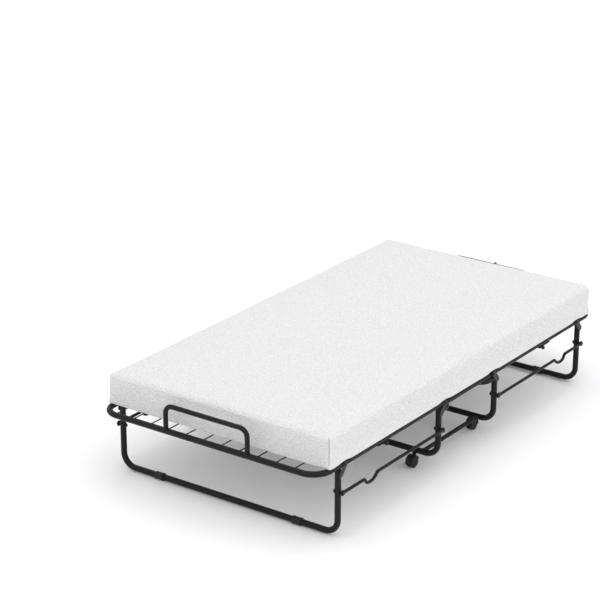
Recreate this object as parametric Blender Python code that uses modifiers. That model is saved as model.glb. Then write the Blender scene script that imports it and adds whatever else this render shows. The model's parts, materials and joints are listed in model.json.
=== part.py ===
"""Folding rollaway bed: a fixed centre stand on casters and two deck halves that fold up about it.

X runs along the bed (head at -X, foot at +X), Y across it (left at +Y) and Z up from the floor.
Each deck half turns 90 degrees about a pin at the top of the centre stand. Its end leg hangs from
the deck on a second pin, and a side rod on each side keeps the leg upright while the deck turns.
"""
import math

import bmesh
import bpy
from mathutils import Matrix, Vector

# Driving dimensions, in metres.
TUBE_R = 0.0111            # 7/8 inch frame tube
CROSSBAR_R = 0.0095
SPACER_R = 0.008
HANDLE_R = 0.0088
ROD_R = 0.0057
WIRE_R = 0.0023
CROSS_WIRE_R = 0.0018
WIRE_WELD = 0.0012         # how far crossing wires sink into each other
GAP = 0.0003               # between pieces that touch
SIDES = 10                 # facets round a small cylinder
ROUND_SIDES = 24           # facets round a caster wheel and its hood

SIDE_Y = 0.472             # centre line of the side tubes and of the leg uprights
END_X = 0.9415             # centre line of the deck's end tubes
DECK_Z = 0.268             # centre line of the deck tubes, and height of the deck pins
PIVOT_X = 0.168            # deck pin on the centre stand
CENTRE_LEG_X = 0.1935
END_LEG_X = 0.826
PIN_SETBACK = CENTRE_LEG_X - PIVOT_X
LEG_PIN_X = END_LEG_X - PIN_SETBACK
ROD_BOLT_Z = 0.173

CENTRE_LEG_BOTTOM_Z = 0.065
LEG_CORNER = 0.051
DECK_CORNER = 0.070
LEG_TOP_Z = DECK_Z - TUBE_R - 0.0014
SPACER_Y = 0.405

CENTRE_BAR_X = 0.112
CENTRE_BAR_Z = 0.2425
CENTRE_BAR_CORNER = 0.045
CENTRE_RAIL_Z = CENTRE_BAR_Z + 2 * TUBE_R - 0.0006
CENTRE_RAIL_END = 0.150

RAIL_PAST_PIN = 0.008
PANEL_SPLIT = 0.385        # distances outboard of the deck pin
INNER_BARS = (0.069, 0.350)
OUTER_BAR = 0.457
INNER_CROSS_WIRES = (0.212,)
OUTER_CROSS_WIRES = (0.5675, 0.670)
WIRE_COUNT = 11
WIRE_PITCH = 0.0776
WIRE_SHIFT = 0.015         # the wires are set towards one side of each half
WIRE_RISE = 0.0065         # the wires meet the bars a little above their centre lines

HANDLE_Y = 0.1775
HANDLE_RISE = 0.098
HANDLE_CORNER = 0.030

PLATE_T = 0.002
PLATE_R = 0.0115
PLATE_FOOT_Z = 0.238
PIN_R = 0.003
RIVET_HEAD_R, RIVET_HEAD_T = 0.0068, 0.0032
HOLE_R = PIN_R + 0.0004
TUBE_FACE_Y = SIDE_Y + TUBE_R
ROD_Y = TUBE_FACE_Y + GAP + PLATE_T + 0.0006 + ROD_R
EYE_R, EYE_T = 0.0105, 0.005
EYE_CLEAR = 0.0088         # the rod itself starts this far from a bolt, inside the eye
BOLT_HEAD_R, BOLT_HEAD_T, BOLT_CAP_T, WASHER_R = 0.0078, 0.0042, 0.0062, 0.0055
KINK = ((0.419, 0.0), (0.429, -0.006), (0.441, -0.015), (0.455, -0.0205), (0.473, -0.021),
        (0.488, -0.017), (0.497, -0.006), (0.505, 0.0))   # distance along the rod, and drop

SLEEVE_R, SLEEVE_LENGTH, SLEEVE_Y = 0.0145, 0.036, 0.304
END_LEG_BOTTOM_Z = SLEEVE_R

CUT_Y = 0.6                # cutters along Y reach past both sides
BRACKET_SPAN = (0.352, 0.425)
BRACKET_HALF_Y = 0.009
BRACKET_T = 0.002
KNOB_AT, KNOB_R, KNOB_DROP, KNOB_HALF_Y = 0.374, 0.0072, 0.0098, 0.013
TAB_HALF_X, TAB_T = 0.0065, 0.0024
SCREW_AT, SCREW_R, SCREW_T = (0.398, 0.418), 0.004, 0.0006

CASTER_Y = 0.372
WHEEL_R, WHEEL_W, WEB_HALF, AXLE_R = 0.022, 0.0095, 0.003, 0.003
CASTER_TRAIL = 0.0135
WHEEL_CLEAR = 0.0006
HUB_R = 0.0165
HOOD_R, HOOD_T = 0.0257, 0.0021
HOOD_CUT_RISE = 0.002
STEM_ROOT_Z, BOSS_TOP_Z, BOSS_R, STEM_R = 0.032, 0.0495, 0.0068, 0.0052
HOOD_TILT = math.radians(-12)

MATTRESS_ENDS = (-0.899, 0.913)
MATTRESS_HALF_Y = 0.489
MATTRESS_Z = (DECK_Z + TUBE_R + GAP, 0.400)
MATTRESS_SPLIT_X = 0.180
MATTRESS_ROUND = 0.014

LATCH_Y = -0.0205
LATCH_WIRE_R = 0.0025
LATCH_PLAY = 0.0008
LATCH_KNEE = 0.110         # distance along the hook to the bend that lifts it over the head handle
LATCH_HOOK_R = 0.0125
LATCH_LEAN = math.radians(6)

parts = bpy.data.collections.new("rollaway_bed")
cutters = bpy.data.collections.new("cutters")
materials = {}


def clear_scene():
    for obj in list(bpy.data.objects):
        bpy.data.objects.remove(obj, do_unlink=True)
    for collection in (parts, cutters):
        bpy.context.scene.collection.children.link(collection)
    cutters.hide_render = True


def material(name, colour, metallic=0.0, roughness=0.5):
    made = bpy.data.materials.new(name)
    made.use_nodes = True
    shader = made.node_tree.nodes["Principled BSDF"]
    shader.inputs["Base Color"].default_value = (*colour, 1)
    shader.inputs["Metallic"].default_value = metallic
    shader.inputs["Roughness"].default_value = roughness
    made.diffuse_color = (*colour, 1)
    materials[name] = made


def add(obj, finish):
    """Puts a finished piece in the parts collection with its material."""
    for collection in list(obj.users_collection):
        collection.objects.unlink(obj)
    parts.objects.link(obj)
    obj.data.materials.clear()
    obj.data.materials.append(materials[finish])
    return obj


def helper(obj):
    """Keeps a Boolean operand out of the render."""
    cutters.objects.link(obj)
    obj.hide_render = True
    obj.display_type = "WIRE"
    return obj


def boolean(obj, other, operation):
    modifier = obj.modifiers.new(operation.lower(), "BOOLEAN")
    modifier.operation = operation
    modifier.solver = "EXACT"
    modifier.object = helper(other)
    return obj


def mesh_object(name, build):
    mesh = bpy.data.meshes.new(name)
    made = bmesh.new()
    build(made)
    made.to_mesh(mesh)
    made.free()
    return bpy.data.objects.new(name, mesh)


def add_cylinder(made, start, end, radius, sides=SIDES):
    """A capped cylinder between two points."""
    start, end = Vector(start), Vector(end)
    turn = (end - start).to_track_quat("Z", "Y").to_matrix().to_4x4()
    bmesh.ops.create_cone(made, cap_ends=True, segments=sides, radius1=radius, radius2=radius,
                          depth=(end - start).length,
                          matrix=Matrix.Translation((start + end) / 2) @ turn)


def cylinders(name, runs, radius, sides=SIDES):
    def build(made):
        for start, end in runs:
            add_cylinder(made, start, end, radius, sides)
    return mesh_object(name, build)


def add_box(made, low, high):
    low, high = Vector(low), Vector(high)
    size = high - low
    scale = Matrix.Diagonal((*size, 1))
    bmesh.ops.create_cube(made, size=1, matrix=Matrix.Translation((low + high) / 2) @ scale)


def box(name, low, high):
    return mesh_object(name, lambda made: add_box(made, low, high))


def rounded(points, radius, steps=4):
    """The same path with each inner corner replaced by an arc."""
    points = [Vector(p) for p in points]
    path = [points[0]]
    for before, corner, after in zip(points, points[1:], points[2:]):
        back, ahead = (before - corner).normalized(), (after - corner).normalized()
        half = back.angle(ahead) / 2
        centre = corner + (back + ahead).normalized() * radius / math.sin(half)
        first = corner + back * radius / math.tan(half) - centre
        last = corner + ahead * radius / math.tan(half) - centre
        turn = first.rotation_difference(last)
        for step in range(steps + 1):
            share = turn.copy()
            share.angle = turn.angle * step / steps
            path.append(centre + share @ first)
    path.append(points[-1])
    return path


def tube(name, path, radius, resolution=3):
    """A round tube along a path, as a welded closed mesh."""
    data = bpy.data.curves.new(name, "CURVE")
    data.dimensions = "3D"
    data.bevel_depth = radius
    data.bevel_resolution = resolution
    data.use_fill_caps = True
    spline = data.splines.new("POLY")
    spline.points.add(len(path) - 1)
    for point, place in zip(spline.points, path):
        point.co = (*place, 1)
    return solid_from_curve(name, data)


def solid_from_curve(name, data):
    curve = bpy.data.objects.new(name + "_path", data)
    bpy.context.scene.collection.objects.link(curve)
    graph = bpy.context.evaluated_depsgraph_get()
    mesh = bpy.data.meshes.new_from_object(curve.evaluated_get(graph))
    bpy.data.objects.remove(curve, do_unlink=True)
    made = bmesh.new()
    made.from_mesh(mesh)
    bmesh.ops.remove_doubles(made, verts=made.verts, dist=1e-5)
    bmesh.ops.recalc_face_normals(made, faces=made.faces)
    made.to_mesh(mesh)
    made.free()
    mesh.name = name
    return bpy.data.objects.new(name, mesh)


def turned(name, profile, centre, across, steps=SIDES):
    """A profile of (radius, height) turned about its own Z, with that axis laid along `across`."""
    mesh = bpy.data.meshes.new(name)
    mesh.from_pydata([(r, 0, h) for r, h in profile],
                     [(i, i + 1) for i in range(len(profile) - 1)], [])
    obj = bpy.data.objects.new(name, mesh)
    screw = obj.modifiers.new("turn", "SCREW")
    screw.steps = screw.render_steps = steps
    screw.use_merge_vertices = True
    screw.merge_threshold = 1e-5
    obj.matrix_world = (Matrix.Translation(centre)
                        @ Vector(across).to_track_quat("Z", "Y").to_matrix().to_4x4())
    return obj


def pivot(name, place):
    """The empty that a moving group turns about."""
    empty = bpy.data.objects.new(name, None)
    empty.empty_display_size = 0.03
    empty.location = place
    parts.objects.link(empty)
    return empty


def attach(empty, pieces):
    for piece in pieces:
        piece.parent = empty
        piece.matrix_parent_inverse = Matrix.Translation(-Vector(empty.location))


def bent_leg(name, x, bottom_z):
    """A tube bent to a U across the bed, with holes for the rod bolts."""
    ends = [(x, SIDE_Y, LEG_TOP_Z), (x, SIDE_Y, bottom_z),
            (x, -SIDE_Y, bottom_z), (x, -SIDE_Y, LEG_TOP_Z)]
    leg = tube(name, rounded(ends, LEG_CORNER), TUBE_R)
    holes = cylinders(name + "_holes", [((x, -CUT_Y, ROD_BOLT_Z), (x, CUT_Y, ROD_BOLT_Z))], HOLE_R)
    return add(boolean(leg, holes, "DIFFERENCE"), "black_tube")


def pivot_plate(name, leg_x, pin_x, side):
    """A link plate on the outside of a leg, with the riveted pin that carries the deck tube."""
    foot, pin = Vector((leg_x, 0, PLATE_FOOT_Z)), Vector((pin_x, 0, DECK_Z))
    along = math.atan2(pin.z - foot.z, pin.x - foot.x)
    outline = [centre + PLATE_R * Vector((math.cos(a), 0, math.sin(a)))
               for centre, start in ((pin, along - math.pi / 2), (foot, along + math.pi / 2))
               for a in (start + math.pi * step / 6 for step in range(7))]
    near = side * (TUBE_FACE_Y + GAP)

    def build(made):
        face = made.faces.new([made.verts.new((p.x, near, p.z)) for p in outline])
        grown = bmesh.ops.extrude_face_region(made, geom=[face])["geom"]
        bmesh.ops.translate(made, vec=(0, side * PLATE_T, 0),
                            verts=[v for v in grown if isinstance(v, bmesh.types.BMVert)])
        bmesh.ops.recalc_face_normals(made, faces=made.faces)
    plate = mesh_object(name, build)
    inner, outer = SIDE_Y - TUBE_R - GAP, abs(near) + PLATE_T
    # Heights from the middle of the deck tube, running down from the outer head to the inner one.
    profile = [(0, outer + RIVET_HEAD_T), (RIVET_HEAD_R * 0.7, outer + RIVET_HEAD_T),
               (RIVET_HEAD_R, outer - PLATE_T / 2), (PIN_R, outer - PLATE_T / 2), (PIN_R, inner),
               (RIVET_HEAD_R, inner), (RIVET_HEAD_R * 0.7, inner - RIVET_HEAD_T),
               (0, inner - RIVET_HEAD_T)]
    rivet = turned(name + "_rivet", [(r, h - SIDE_Y) for r, h in profile],
                   (pin_x, side * SIDE_Y, DECK_Z), (0, side, 0))
    return add(boolean(plate, rivet, "UNION"), "zinc_steel")


def rod_bolt(name, x, side):
    """A capped bolt through a leg upright and the eye of its side rod."""
    inner, face = -TUBE_R - GAP, TUBE_R + GAP
    eye_in, eye_out = ROD_Y - SIDE_Y - EYE_T / 2 - GAP, ROD_Y - SIDE_Y + EYE_T / 2 + GAP
    profile = [(0, eye_out + BOLT_HEAD_T), (BOLT_HEAD_R * 0.8, eye_out + BOLT_HEAD_T),
               (BOLT_HEAD_R, eye_out), (PIN_R, eye_out), (PIN_R, eye_in), (WASHER_R, eye_in),
               (WASHER_R, face), (PIN_R, face), (PIN_R, inner), (BOLT_HEAD_R, inner),
               (BOLT_HEAD_R * 0.7, inner - BOLT_CAP_T), (0, inner - BOLT_CAP_T)]
    bolt = turned(name, profile, (x, side * SIDE_Y, ROD_BOLT_Z), (0, side, 0))
    return add(bolt, "black_plastic")


def side_rod(name, end, side):
    """The round rod between the two bolts of one side, with the dip that clears the deck joint."""
    length = END_LEG_X - CENTRE_LEG_X
    drops = [(EYE_CLEAR, 0.0), *KINK, (length - EYE_CLEAR, 0.0)]
    path = [(end * (CENTRE_LEG_X + along), side * ROD_Y, ROD_BOLT_Z + drop) for along, drop in drops]
    rod = tube(name, path, ROD_R, resolution=2)
    near, far = side * (ROD_Y - EYE_T / 2), side * (ROD_Y + EYE_T / 2)
    bolts_x = [end * CENTRE_LEG_X, end * END_LEG_X]
    eyes = cylinders(name + "_eyes", [((x, near, ROD_BOLT_Z), (x, far, ROD_BOLT_Z)) for x in bolts_x],
                     EYE_R, 14)
    holes = cylinders(name + "_holes", [((x, side * SIDE_Y, ROD_BOLT_Z), (x, side * CUT_Y, ROD_BOLT_Z))
                                        for x in bolts_x], HOLE_R)
    return add(boolean(boolean(rod, eyes, "UNION"), holes, "DIFFERENCE"), "black_tube")


def wire_end(bar_r, rise, wire_r):
    """How far from a bar's centre line a wire stops, with its lowest edge just clear of the bar."""
    return math.sqrt(bar_r ** 2 - max(rise - wire_r, 0) ** 2) + GAP


def wire_setback(y, bar_r, corner):
    """How far a lengthwise wire stops from its bar, and further where the bar bends round a corner."""
    wall = wire_end(bar_r, WIRE_RISE, WIRE_R)
    into_bend = abs(y) + WIRE_R - (SIDE_Y - corner)
    if not corner or into_bend < 0:
        return wall
    return corner - math.sqrt((corner - wall) ** 2 - into_bend ** 2)


def wire_grid(name, bars, bar_z, flip, cross_at):
    """Lengthwise wires that butt against two bars (x, radius, corner), and cross wires under them."""
    reach = (WIRE_COUNT - 1) / 2
    rows = [flip * (WIRE_SHIFT + WIRE_PITCH * (i - reach)) for i in range(WIRE_COUNT)]
    (start_x, *start_bar), (end_x, *end_bar) = sorted(bars)
    z = bar_z + WIRE_RISE
    grid = cylinders(name, [((start_x + wire_setback(y, *start_bar), y, z),
                             (end_x - wire_setback(y, *end_bar), y, z)) for y in rows], WIRE_R, 6)
    cross_rise = WIRE_RISE - WIRE_R - CROSS_WIRE_R + WIRE_WELD
    cross_z = bar_z + cross_rise
    edge = SIDE_Y - wire_end(TUBE_R, cross_rise, CROSS_WIRE_R)
    cross = cylinders(name + "_cross", [((x, -edge, cross_z), (x, edge, cross_z)) for x in cross_at],
                      CROSS_WIRE_R, 6)
    return add(boolean(grid, cross, "UNION"), "black_wire")


def outer_frame(name, end):
    inner_x, end_x, bar_x = (end * (PIVOT_X + d) for d in (PANEL_SPLIT, END_X - PIVOT_X, OUTER_BAR))
    ends = [(inner_x + end * GAP, SIDE_Y, DECK_Z), (end_x, SIDE_Y, DECK_Z),
            (end_x, -SIDE_Y, DECK_Z), (inner_x + end * GAP, -SIDE_Y, DECK_Z)]
    frame = tube(name, rounded(ends, DECK_CORNER, 6), TUBE_R)
    boolean(frame, crossbars(name + "_bar", [bar_x]), "UNION")
    return add(boolean(frame, pin_holes(name, end * LEG_PIN_X), "DIFFERENCE"), "black_tube")


def crossbars(name, places):
    return cylinders(name, [((x, -SIDE_Y, DECK_Z), (x, SIDE_Y, DECK_Z)) for x in places], CROSSBAR_R)


def pin_holes(name, x):
    return cylinders(name + "_pin_holes", [((x, -CUT_Y, DECK_Z), (x, CUT_Y, DECK_Z))], HOLE_R)


def inner_frame(name, end):
    near_x, far_x = end * (PIVOT_X - RAIL_PAST_PIN), end * (PIVOT_X + PANEL_SPLIT)
    rails = cylinders(name, [((near_x, side * SIDE_Y, DECK_Z), (far_x, side * SIDE_Y, DECK_Z))
                             for side in (-1, 1)], TUBE_R)
    bars = crossbars(name + "_bars", [end * (PIVOT_X + d) for d in INNER_BARS])
    boolean(rails, bars, "UNION")
    return add(boolean(rails, pin_holes(name, end * PIVOT_X), "DIFFERENCE"), "black_tube")


def joint_bracket(name, end, side):
    """The strap under the joint between the two panels of one side, with its bolt and screws."""
    top = DECK_Z - TUBE_R - GAP
    x0, x1 = sorted(end * (PIVOT_X + d) for d in BRACKET_SPAN)
    y0, y1 = sorted((side * (SIDE_Y - BRACKET_HALF_Y), side * (SIDE_Y + BRACKET_HALF_Y)))
    strap = box(name, (x0, y0, top - BRACKET_T), (x1, y1, top))
    knob_x, knob_z, y = end * (PIVOT_X + KNOB_AT), DECK_Z - TUBE_R - KNOB_DROP, side * SIDE_Y
    tab = box(name + "_tab", (knob_x - TAB_HALF_X, y - TAB_T / 2, knob_z),
              (knob_x + TAB_HALF_X, y + TAB_T / 2, top - BRACKET_T / 2))
    knob = cylinders(name + "_knob", [((knob_x, y - KNOB_HALF_Y, knob_z),
                                       (knob_x, y + KNOB_HALF_Y, knob_z))], KNOB_R, 16)
    screws = cylinders(name + "_screws",
                       [((end * (PIVOT_X + d), y, top - BRACKET_T - SCREW_T),
                         (end * (PIVOT_X + d), y, top - BRACKET_T / 2)) for d in SCREW_AT], SCREW_R, 12)
    for cutter in (tab, knob, screws):
        boolean(strap, cutter, "UNION")
    return add(strap, "black_plastic")


def handle(name, end):
    x, top = end * END_X, DECK_Z + HANDLE_RISE
    foot = DECK_Z + TUBE_R + GAP
    ends = [(x, HANDLE_Y, foot), (x, HANDLE_Y, top), (x, -HANDLE_Y, top), (x, -HANDLE_Y, foot)]
    return add(tube(name, rounded(ends, HANDLE_CORNER), HANDLE_R), "black_tube")


def sleeve(name, x, y):
    """A plastic sleeve pushed over the foot of an end leg."""
    half = SLEEVE_LENGTH / 2
    profile = [(TUBE_R + GAP, half), (SLEEVE_R, half), (SLEEVE_R, -half), (TUBE_R + GAP, -half)]
    return add(turned(name, profile + profile[:1], (x, y, END_LEG_BOTTOM_Z), (0, 1, 0), 16),
               "black_plastic")


def caster(name, x, y, trail):
    """A hooded twin-wheel caster: the hood swivels on its stem, and the wheels share one axle."""
    hub_x = x + trail
    near = WEB_HALF + WHEEL_CLEAR
    outer = near + WHEEL_W
    hood_half = outer + 2 * WHEEL_CLEAR

    def lying(tag, half, radius, sides):
        return cylinders(name + tag, [((hub_x, y - half, WHEEL_R), (hub_x, y + half, WHEEL_R))],
                         radius, sides)

    hood = lying("_hood", hood_half, HOOD_R, ROUND_SIDES)
    leg_face = CENTRE_LEG_BOTTOM_Z - TUBE_R - GAP
    stem = turned(name + "_stem", [(0, leg_face), (STEM_R, leg_face), (STEM_R, BOSS_TOP_Z),
                                   (BOSS_R, BOSS_TOP_Z), (BOSS_R, STEM_ROOT_Z), (0, STEM_ROOT_Z)],
                  (x, y, 0), (0, 0, 1))
    pockets = mesh_object(name + "_pockets", lambda made: [
        add_cylinder(made, (hub_x, y + side * WEB_HALF, WHEEL_R),
                     (hub_x, y + side * 2 * hood_half, WHEEL_R), HOOD_R - HOOD_T, ROUND_SIDES)
        for side in (-1, 1)])
    open_side = box(name + "_open", (-2 * HOOD_R, -2 * hood_half, -2 * HOOD_R),
                    (2 * HOOD_R, 2 * hood_half, 0))
    open_side.matrix_world = (Matrix.Translation((hub_x, y, WHEEL_R + HOOD_CUT_RISE))
                              @ Matrix.Rotation(HOOD_TILT * math.copysign(1, trail), 4, "Y"))
    boolean(hood, stem, "UNION")
    boolean(hood, pockets, "DIFFERENCE")
    boolean(hood, open_side, "DIFFERENCE")
    boolean(hood, lying("_hub", WEB_HALF + WHEEL_CLEAR / 3, HUB_R, 16), "UNION")
    boolean(hood, lying("_bore", 2 * hood_half, AXLE_R + 0.0004, SIDES), "DIFFERENCE")
    add(hood, "black_plastic")

    half = [(0, outer), (WHEEL_R, outer), (WHEEL_R, near), (AXLE_R, near)]
    profile = half + [(r, -h) for r, h in reversed(half)]
    wheels = turned(name + "_wheels", profile, (hub_x, y, WHEEL_R), (0, 1, 0), ROUND_SIDES)
    add(wheels, "dark_rubber")
    attach(pivot(name + "_spin", (hub_x, y, WHEEL_R)), [wheels])
    attach(pivot(name + "_swivel", (x, y, 0)), [hood])


def mattress(name, x0, x1):
    pad = box(name, (x0, -MATTRESS_HALF_Y, MATTRESS_Z[0]), (x1, MATTRESS_HALF_Y, MATTRESS_Z[1]))
    soften = pad.modifiers.new("round", "BEVEL")
    soften.width = MATTRESS_ROUND
    soften.segments = 2
    soften.limit_method = "ANGLE"
    return add(pad, "white_ticking")


def latch(name):
    """A wire hook that hangs on the foot handle and reaches the head handle when the bed is folded."""
    centre = Vector((END_X, LATCH_Y, DECK_Z + HANDLE_RISE))
    reach = 2 * (PIVOT_X - HANDLE_RISE)

    def arc(along, radius, start, end, steps):
        angles = (math.radians(start + (end - start) * i / steps) for i in range(steps + 1))
        return [Vector((along + radius * math.cos(a), radius * math.sin(a), 0)) for a in angles]
    # Drawn with the shank running away from its eye, then turned to hang down beside the end tube.
    eye = arc(0, HANDLE_R + LATCH_PLAY + LATCH_WIRE_R, -390, -90, 12)
    hook = arc(reach, LATCH_HOOK_R, 120, -25, 7)
    shank = rounded([eye[-1], Vector((LATCH_KNEE, -LATCH_HOOK_R / 3, 0)), hook[0]], 0.02, 3)
    turn = LATCH_LEAN - math.pi / 2
    path = [centre + Vector((p.x * math.cos(turn) + p.y * math.sin(turn), 0,
                             p.x * math.sin(turn) - p.y * math.cos(turn)))
            for p in eye + shank[1:-1] + hook]
    return add(tube(name, path, LATCH_WIRE_R, resolution=2), "zinc_steel")


def centre_stand():
    for end_name, end in (("head", -1), ("foot", 1)):
        bent_leg(f"centre_leg_{end_name}", end * CENTRE_LEG_X, CENTRE_LEG_BOTTOM_Z)
    for side_name, side in (("left", 1), ("right", -1)):
        reach = CENTRE_LEG_X - TUBE_R - GAP
        bar = cylinders(f"spacer_bar_{side_name}",
                        [((-reach, side * SPACER_Y, CENTRE_LEG_BOTTOM_Z),
                          (reach, side * SPACER_Y, CENTRE_LEG_BOTTOM_Z))], SPACER_R)
        add(bar, "black_tube")
    leg_face = CENTRE_LEG_X - TUBE_R - GAP
    hoops = []
    for end in (-1, 1):
        ends = [(end * leg_face, SIDE_Y, CENTRE_BAR_Z), (end * CENTRE_BAR_X, SIDE_Y, CENTRE_BAR_Z),
                (end * CENTRE_BAR_X, -SIDE_Y, CENTRE_BAR_Z), (end * leg_face, -SIDE_Y, CENTRE_BAR_Z)]
        hoops.append(tube("centre_frame", rounded(ends, CENTRE_BAR_CORNER), TUBE_R))
    frame, other = hoops
    boolean(frame, other, "UNION")
    rails = cylinders("centre_frame_rails",
                      [((-CENTRE_RAIL_END, side * SIDE_Y, CENTRE_RAIL_Z),
                        (CENTRE_RAIL_END, side * SIDE_Y, CENTRE_RAIL_Z)) for side in (-1, 1)], TUBE_R)
    add(boolean(frame, rails, "UNION"), "black_tube")
    wire_grid("centre_wires", [(end * CENTRE_BAR_X, TUBE_R, 0) for end in (-1, 1)], CENTRE_BAR_Z, 1, [0])


def deck_half(end_name, end):
    def x_of(distance):
        return end * (PIVOT_X + distance)

    pieces = [outer_frame(f"outer_deck_frame_{end_name}", end),
              inner_frame(f"inner_deck_frame_{end_name}", end),
              wire_grid(f"outer_wires_{end_name}",
                        [(x_of(OUTER_BAR), CROSSBAR_R, 0), (end * END_X, TUBE_R, DECK_CORNER)],
                        DECK_Z, -end, [x_of(d) for d in OUTER_CROSS_WIRES]),
              wire_grid(f"inner_wires_{end_name}", [(x_of(d), CROSSBAR_R, 0) for d in INNER_BARS],
                        DECK_Z, -end, [x_of(d) for d in INNER_CROSS_WIRES]),
              handle(f"handle_{end_name}", end)]
    low, high = ((MATTRESS_ENDS[0], -MATTRESS_SPLIT_X) if end < 0
                 else (MATTRESS_SPLIT_X, MATTRESS_ENDS[1]))
    pieces.append(mattress(f"mattress_{end_name}", low, high))
    leg_pieces = [bent_leg(f"end_leg_{end_name}", end * END_LEG_X, END_LEG_BOTTOM_Z)]
    for side_name, side in (("left", 1), ("right", -1)):
        tag = f"{end_name}_{side_name}"
        pieces.append(joint_bracket(f"joint_bracket_{tag}", end, side))
        leg_pieces += [pivot_plate(f"end_leg_plate_{tag}", end * END_LEG_X, end * LEG_PIN_X, side),
                       rod_bolt(f"end_leg_bolt_{tag}", end * END_LEG_X, side),
                       sleeve(f"foot_sleeve_{tag}", end * END_LEG_X, side * SLEEVE_Y)]
        pivot_plate(f"centre_leg_plate_{tag}", end * CENTRE_LEG_X, end * PIVOT_X, side)
        rod_bolt(f"centre_leg_bolt_{tag}", end * CENTRE_LEG_X, side)
        rod = side_rod(f"side_rod_{tag}", end, side)
        attach(pivot(f"side_rod_{tag}_axis", (end * CENTRE_LEG_X, side * ROD_Y, ROD_BOLT_Z)), [rod])
        caster(f"caster_{tag}", end * CENTRE_LEG_X, side * CASTER_Y, end * CASTER_TRAIL)
    attach(pivot(f"deck_{end_name}_axis", (end * PIVOT_X, 0, DECK_Z)), pieces)
    attach(pivot(f"end_leg_{end_name}_axis", (end * LEG_PIN_X, 0, DECK_Z)), leg_pieces)


clear_scene()
material("black_tube", (0.022, 0.022, 0.024), 0.3, 0.42)
material("black_wire", (0.05, 0.05, 0.055), 0.6, 0.4)
material("zinc_steel", (0.10, 0.10, 0.105), 0.8, 0.4)
material("black_plastic", (0.018, 0.018, 0.018), 0.0, 0.55)
material("dark_rubber", (0.03, 0.03, 0.03), 0.0, 0.7)
material("white_ticking", (0.82, 0.82, 0.80), 0.0, 0.85)
centre_stand()
for half_name, half in (("head", -1), ("foot", 1)):
    deck_half(half_name, half)
mattress("mattress_centre", GAP - MATTRESS_SPLIT_X, MATTRESS_SPLIT_X - GAP)
hook = latch("latch_hook")
attach(pivot("latch_hook_axis", (END_X, LATCH_Y, DECK_Z + HANDLE_RISE)), [hook])
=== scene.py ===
"""Looks of the folding rollaway bed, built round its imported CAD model. Metres, +Z up, head at -X."""
import json
import math

import bmesh
import bpy
import numpy as np
from mathutils import Matrix, Vector, noise

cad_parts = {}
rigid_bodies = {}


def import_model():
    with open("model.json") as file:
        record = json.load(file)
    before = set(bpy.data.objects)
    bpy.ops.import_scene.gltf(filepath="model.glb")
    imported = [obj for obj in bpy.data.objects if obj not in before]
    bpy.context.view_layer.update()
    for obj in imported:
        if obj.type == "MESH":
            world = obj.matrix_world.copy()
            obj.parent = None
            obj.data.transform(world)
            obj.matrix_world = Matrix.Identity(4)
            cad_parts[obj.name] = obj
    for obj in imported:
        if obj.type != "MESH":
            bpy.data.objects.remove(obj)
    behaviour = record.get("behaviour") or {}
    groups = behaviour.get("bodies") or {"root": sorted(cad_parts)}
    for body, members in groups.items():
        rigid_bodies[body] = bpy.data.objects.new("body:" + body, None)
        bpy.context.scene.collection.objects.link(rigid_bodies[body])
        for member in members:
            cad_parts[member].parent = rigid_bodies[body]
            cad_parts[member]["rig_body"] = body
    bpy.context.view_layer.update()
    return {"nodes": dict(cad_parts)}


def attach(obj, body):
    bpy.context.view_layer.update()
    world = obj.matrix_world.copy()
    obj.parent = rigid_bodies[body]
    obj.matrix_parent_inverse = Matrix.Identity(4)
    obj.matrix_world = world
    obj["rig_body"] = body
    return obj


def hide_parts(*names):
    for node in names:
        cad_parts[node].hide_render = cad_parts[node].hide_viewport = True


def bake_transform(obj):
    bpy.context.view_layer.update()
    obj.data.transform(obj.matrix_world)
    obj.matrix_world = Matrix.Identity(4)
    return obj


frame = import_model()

# Driving dimensions of the CAD model.
TUBE_R = 0.0111
CROSSBAR_R = 0.0095
SPACER_R = 0.008
HANDLE_R = 0.0088
ROD_R = 0.0057
WIRE_R = 0.0023
CROSS_WIRE_R = 0.0018
WIRE_WELD = 0.0012
GAP = 0.0003

SIDE_Y = 0.472
END_X = 0.9415
DECK_Z = 0.268
PIVOT_X = 0.168
CENTRE_LEG_X = 0.1935
END_LEG_X = 0.826
LEG_PIN_X = END_LEG_X - (CENTRE_LEG_X - PIVOT_X)
ROD_BOLT_Z = 0.173
CENTRE_LEG_BOTTOM_Z = 0.065
LEG_CORNER = 0.051
DECK_CORNER = 0.070
LEG_TOP_Z = DECK_Z - TUBE_R - 0.0014
SPACER_Y = 0.405

CENTRE_BAR_X = 0.112
CENTRE_BAR_Z = 0.2425
CENTRE_BAR_CORNER = 0.045
CENTRE_RAIL_Z = CENTRE_BAR_Z + 2 * TUBE_R - 0.0006
CENTRE_RAIL_END = 0.150

RAIL_PAST_PIN = 0.008
PANEL_SPLIT = 0.385
INNER_BARS = (0.069, 0.350)
OUTER_BAR = 0.457
INNER_CROSS_WIRES = (0.212,)
OUTER_CROSS_WIRES = (0.5675, 0.670)
WIRE_COUNT = 11
WIRE_PITCH = 0.0776
WIRE_SHIFT = 0.015
WIRE_RISE = 0.0065

HANDLE_Y = 0.1775
HANDLE_RISE = 0.098
HANDLE_CORNER = 0.030

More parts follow.
